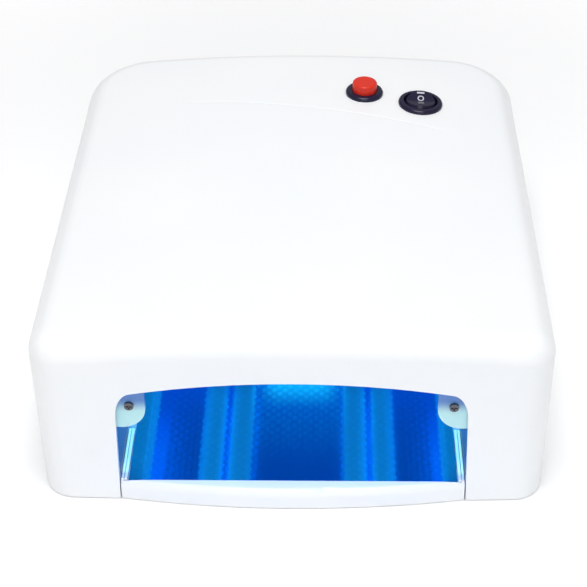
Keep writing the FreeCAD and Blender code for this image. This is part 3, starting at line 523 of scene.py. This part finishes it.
lamp_base_white = grained(
    "lamp_base_white", (0.80, 0.81, 0.82), (0.85, 0.86, 0.87), 800.0, 0.34, 0.16, detail=2.0, relief=0.00006
)
lamp_bases = [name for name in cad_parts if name.startswith("lamp_base_")]
wear(lamp_base_white, *lamp_bases, "tube_hangers")

socket_white = grained(
    "socket_white", (0.72, 0.72, 0.69), (0.80, 0.80, 0.77), 600.0, 0.45, 0.2, relief=0.00008, bite=0.6
)
wear(socket_white, *[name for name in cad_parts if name.startswith("lamp_socket_")])

pin_brass = grained(
    "pin_brass", (0.70, 0.52, 0.25), (0.86, 0.70, 0.40), 900.0, 0.2, 0.2, stretch=(1, 0.1, 1), Metallic=1.0
)
wear(pin_brass, "lamp_pins", "rocker_terminals", "button_terminals")

# ---------------------------------------------------------------- end guards
# White moulded tongues behind the hand opening's upper corners, each held by one dark screw.
# They hide the front ends of the side tubes.
guard_white = Finish("guard_white", (0.55, 0.72, 0.78), 0.4)
_, _, height = guard_white.axes()
milk = guard_white.noise(500.0, 2.0)
# Painted light and shade: each guard's lower half is painted pale cyan as if lit by the side tubes, and its
# upper half blue-grey as if in the shadow of the opening's arch.
guard_white.feed(
    Base_Color=guard_white.blend(height.ease(0.050, 0.058), (0.50, 0.80, 0.83), (0.10, 0.23, 0.56)),
    Roughness=0.35 + 0.15 * milk,
)
guard_white.emboss(milk, 0.00006, 0.5)
wear(guard_white, "end_guard_left", "end_guard_right")
dark_screw = grained(
    "dark_screw", (0.09, 0.09, 0.10), (0.20, 0.20, 0.21), 1000.0, 0.3, 0.25, Metallic=1.0
)
wear(dark_screw, "guard_screws")

# ---------------------------------------------------------------- tray
# The slide-out floor is a white moulding with a bowed lip and short twin ribs at each side.
# A sheet of pebbled mirror foil lies in it.
# The ribs stand right under the side tubes; their pale cyan light is painted light, an emission glow on their
# tops.
tray_white = Finish("tray_white", (0.87, 0.885, 0.90), 0.30, Coat_Weight=0.12, Emission_Strength=0.8)
tray_side, tray_back, tray_up = tray_white.axes()
on_ribs = abs(tray_side).ease(0.0752, 0.0757) * tray_up.ease(0.0100, 0.0107)
# Painted light: the tops of the ribs glow pale cyan.
rib_painted_glow = on_ribs * tray_back.ease(-0.1235, -0.1200)
scuff = tray_white.noise(30.0, 3.0)
tray_white.feed(
    Base_Color=tray_white.blend(scuff.ease(0.3, 0.75), (0.865, 0.882, 0.900), (0.885, 0.896, 0.906)),
    Roughness=0.25 + 0.12 * scuff,
    Emission_Color=tray_white.blend(rib_painted_glow, (0.0, 0.0, 0.0), (0.22, 0.58, 0.60)),
)
wear(tray_white, "tray")
# Painted light: the mirror foil's dark teal tint stands in for the tubes' blue light reflected in it.
tray_foil = pebbled("tray_foil", (0.03, 0.205, 0.35), 0.0036, 0.000016, 0.05)
wear(tray_foil, "tray_mirror")

# ---------------------------------------------------------------- controls
# A red momentary timer button in a black bezel, and a round three-position rocker in another.
# Both are panel parts of glossy moulded plastic that snap into holes in the top.
control_black = grained(
    "control_black", (0.009, 0.008, 0.024), (0.017, 0.014, 0.046), 220.0, 0.12, 0.14,
    relief=0.00003, bite=0.4, Specular_IOR_Level=0.28,
)
wear(control_black, "button_bezel", "rocker_bezel", "button_nut", "power_rocker")

cap_red = grained(
    "cap_red", (0.62, 0.022, 0.010), (0.72, 0.034, 0.014), 400.0, 0.26, 0.14,
    detail=2.0, relief=0.00005, Specular_IOR_Level=0.3,
)
wear(cap_red, "button_cap")

spring_steel = grained(
    "spring_steel", (0.60, 0.60, 0.63), (0.76, 0.76, 0.77), 1500.0, 0.18, 0.2, detail=2.0, Metallic=1.0
)
wear(spring_steel, "rocker_pin")

# The button's spring is a coil of drawn wire, closed up by the cap as it goes in.
coil = bmesh.new()
coil.from_mesh(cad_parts["button_spring"].data)
bmesh.ops.remove_doubles(coil, verts=coil.verts, dist=2e-6)
button_coil = piece("button_coil", coil, spring_steel, sharp=60.0)
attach(button_coil, "housing")
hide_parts("button_spring")
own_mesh(button_coil)

# The rocker's marks are a bar, a ring and a double bar, printed in white down its middle.
# It rests tipped forwards about its pin, as it is with the lamp on.
VALLEY_UP, ROOF_SLOPE, ROCKER_TIP = 4.3 * MM, 2.3 / 9.0, math.radians(9)
PIVOT_DROP, HOOP_AT, HOOP_RADIUS, INK_PROUD = 2.0 * MM, 1.5 * MM, 1.7 * MM, 0.04 * MM
PIVOT = ROCKER_AT @ Matrix.Translation((0, 0, -PIVOT_DROP)) @ Matrix.Rotation(ROCKER_TIP, 4, "X")
mark_white = grained(
    "mark_white", (0.46, 0.47, 0.53), (0.58, 0.59, 0.64), 2500.0, 0.4, 0.2, detail=2.0
)
marks = bmesh.new()
for at, wide, deep in ((5.0, 3.9, 1.0), (-1.9, 3.2, 0.32), (-3.0, 3.2, 0.32)):
    shape = Matrix.Translation((0, at * MM, 0)) @ Matrix.Diagonal((wide * MM, deep * MM, 1, 1))
    bmesh.ops.create_grid(marks, x_segments=4, y_segments=2, size=0.5, matrix=shape)
hoop = bmesh.ops.create_circle(marks, cap_ends=False, segments=32, radius=HOOP_RADIUS)["verts"]
bmesh.ops.translate(marks, vec=(0, HOOP_AT, 0), verts=hoop)
rim = bmesh.ops.extrude_edge_only(marks, edges=list({e for v in hoop for e in v.link_edges}))["geom"]
inner = [v for v in rim if isinstance(v, bmesh.types.BMVert)]
bmesh.ops.scale(marks, vec=(0.66, 0.66, 1), space=Matrix.Translation((0, -HOOP_AT, 0)), verts=inner)
for v in marks.verts:
    v.co.z = VALLEY_UP + abs(v.co.y) * ROOF_SLOPE + INK_PROUD
bmesh.ops.recalc_face_normals(marks, faces=marks.faces)
bmesh.ops.transform(marks, matrix=PIVOT, verts=marks.verts)
rocker_marks = piece("rocker_marks", marks, mark_white)
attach(rocker_marks, "rocker")

# ---------------------------------------------------------------- electronics
# A green timer board and two brown ballast boards stand on posts behind the chamber.
# Their relays, cans, chokes and headers are sealed in once the housing is on.
def flat_finish(name, dark, light, scale, gloss, depth=0.00006, **constants):
    """A finish of two close shades in fine grain."""
    made = Finish(name, light, gloss, **constants)
    fleck = made.noise(scale, 3.0)
    made.feed(Roughness=gloss - 0.06 + 0.12 * fleck, Base_Color=made.blend(fleck.ease(0.3, 0.7), dark, light))
    made.emboss(fleck, depth, 0.5)
    return made


for made, names in (
    (flat_finish("board_green", (0.02, 0.15, 0.07), (0.04, 0.24, 0.12), 300.0, 0.35), ["timer_board"]),
    (
        flat_finish("board_amber", (0.34, 0.20, 0.07), (0.46, 0.29, 0.12), 300.0, 0.5),
        ["ballast_board_left", "ballast_board_right"],
    ),
    (flat_finish("relay_blue", (0.015, 0.09, 0.40), (0.025, 0.14, 0.55), 200.0, 0.3), ["timer_relays"]),
    (flat_finish("chip_black", (0.015, 0.015, 0.017), (0.03, 0.03, 0.033), 900.0, 0.55), ["timer_chips"]),
    (
        flat_finish("can_aluminium", (0.60, 0.61, 0.63), (0.75, 0.76, 0.78), 500.0, 0.35, Metallic=1.0),
        ["timer_capacitors"],
    ),
    (
        flat_finish("can_black", (0.02, 0.02, 0.035), (0.035, 0.035, 0.055), 500.0, 0.4),
        ["ballast_capacitors_left", "ballast_capacitors_right"],
    ),
    (flat_finish("coil_amber", (0.64, 0.46, 0.08), (0.80, 0.60, 0.15), 250.0, 0.5), ["timer_transformer"]),
    (
        flat_finish("ferrite_grey", (0.07, 0.07, 0.08), (0.13, 0.13, 0.14), 700.0, 0.6),
        ["ballast_chokes_left", "ballast_chokes_right"],
    ),
    (flat_finish("header_cream", (0.74, 0.70, 0.58), (0.84, 0.80, 0.68), 500.0, 0.5), ["wire_headers"]),
):
    wear(made, *names)

# ---------------------------------------------------------------- cord gland
# A black bush snapped into the back wall, bored for the mains lead.
wear(flat_finish("gland_black", (0.012, 0.012, 0.014), (0.03, 0.03, 0.032), 600.0, 0.5, 0.0001), "cord_gland")
